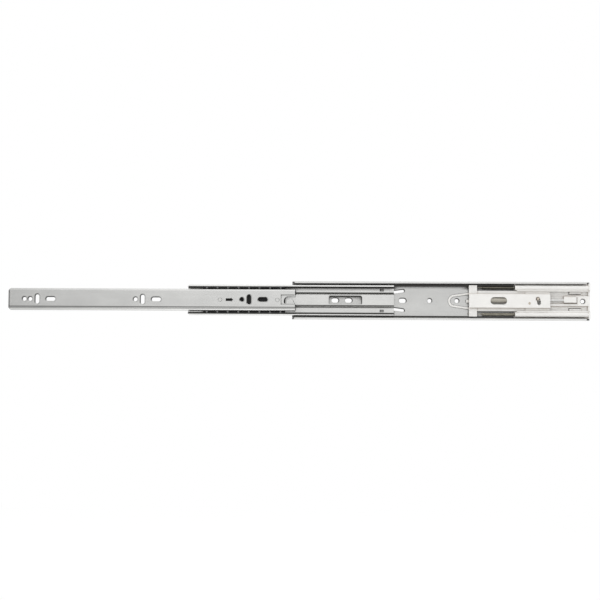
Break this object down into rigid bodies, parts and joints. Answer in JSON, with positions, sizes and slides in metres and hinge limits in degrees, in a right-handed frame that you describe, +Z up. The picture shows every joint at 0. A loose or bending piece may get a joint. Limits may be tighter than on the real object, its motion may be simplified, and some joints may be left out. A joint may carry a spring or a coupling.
{
  "type": "cabinet drawer slide",
  "caption": "Side-mounted full-extension ball-bearing drawer slide of three telescoping steel members, with a sprung and damped soft-closing unit at the rear, drawn out.",
  "frame": {"origin": "middle of the front edge of the cabinet member's back face, which lies on the cabinet's side panel", "axes": "+X to the rear of the cabinet, +Y into the side panel, +Z up; the drawer is on the -Y side"},
  "size_m": [0.692, 0.0127, 0.0454],
  "materials": {
    "zinc_steel": "bright zinc-plated rolled steel sheet, soft satin sheen",
    "cage_black": "black coated ball cage",
    "ball_steel": "polished bearing steel with a film of grease",
    "white_plastic": "off-white injection-moulded acetal",
    "damper_metal": "drawn damper tube, satin",
    "pin_steel": "turned steel pin",
    "grey_plastic": "grey moulded plastic",
    "spring_steel": "close-coiled spring wire"
  },
  "bodies": {
    "cabinet": {"cabinet_member": "zinc_steel", "damper_base": "white_plastic", "damper_piston": "grey_plastic", "damper_rod": "pin_steel", "rod_foot": "white_plastic", "spring_upper": "spring_steel", "spring_lower": "spring_steel"},
    "outer_cage": {"outer_cage_upper": "cage_black", "outer_cage_lower": "cage_black", "outer_balls_upper": "ball_steel", "outer_balls_lower": "ball_steel"},
    "intermediate": {"intermediate_member": "zinc_steel"},
    "inner_cage": {"inner_cage": "cage_black", "inner_balls_upper": "ball_steel", "inner_balls_lower": "ball_steel"},
    "drawer": {"drawer_member": "zinc_steel", "lever_rivet": "pin_steel"},
    "lever": {"release_lever": "grey_plastic"},
    "carriage": {"carriage": "white_plastic", "damper_cylinder": "damper_metal", "damper_gland": "damper_metal", "latch_pivot_pin": "pin_steel"},
    "latch": {"latch": "grey_plastic", "latch_pin": "pin_steel"}
  },
  "joints": [
    {"name": "intermediate_slide", "type": "slide", "parent": "cabinet", "child": "intermediate", "axis": [1, 0, 0], "range_m": [0, 0.126]},
    {"name": "drawer_slide", "type": "slide", "parent": "intermediate", "child": "drawer", "axis": [1, 0, 0], "range_m": [0, 0.216]},
    {"name": "outer_cage_slide", "type": "slide", "parent": "cabinet", "child": "outer_cage", "axis": [1, 0, 0], "range_m": [0, 0.063]},
    {"name": "inner_cage_slide", "type": "slide", "parent": "intermediate", "child": "inner_cage", "axis": [1, 0, 0], "range_m": [0, 0.108]},
    {"name": "carriage_slide", "type": "slide", "parent": "cabinet", "child": "carriage", "axis": [1, 0, 0], "range_m": [0, 0.044], "deforming": ["spring_upper", "spring_lower"]},
    {"name": "latch_pivot", "type": "hinge", "parent": "carriage", "child": "latch", "pos_m": [0.2795, -0.0085, -0.0028], "axis": [0, 1, 0], "range_deg": [0, 28]},
    {"name": "lever_pivot", "type": "hinge", "parent": "drawer", "child": "lever", "pos_m": [-0.0854, -0.0109, 0], "axis": [0, 1, 0], "range_deg": [-6.5, 0], "stiffness_Nm_per_rad": 0.05, "springref_deg": 2.86}
  ],
  "couplings": [
    {"joint": "outer_cage_slide", "follows": "intermediate_slide", "ratio": 0.5},
    {"joint": "inner_cage_slide", "follows": "drawer_slide", "ratio": 0.5},
    {"joint": "carriage_slide", "follows": "intermediate_slide", "ratio": 0.3492},
    {"joint": "latch_pivot", "follows": "intermediate_slide", "rad_per_m": 3.878}
  ]
}
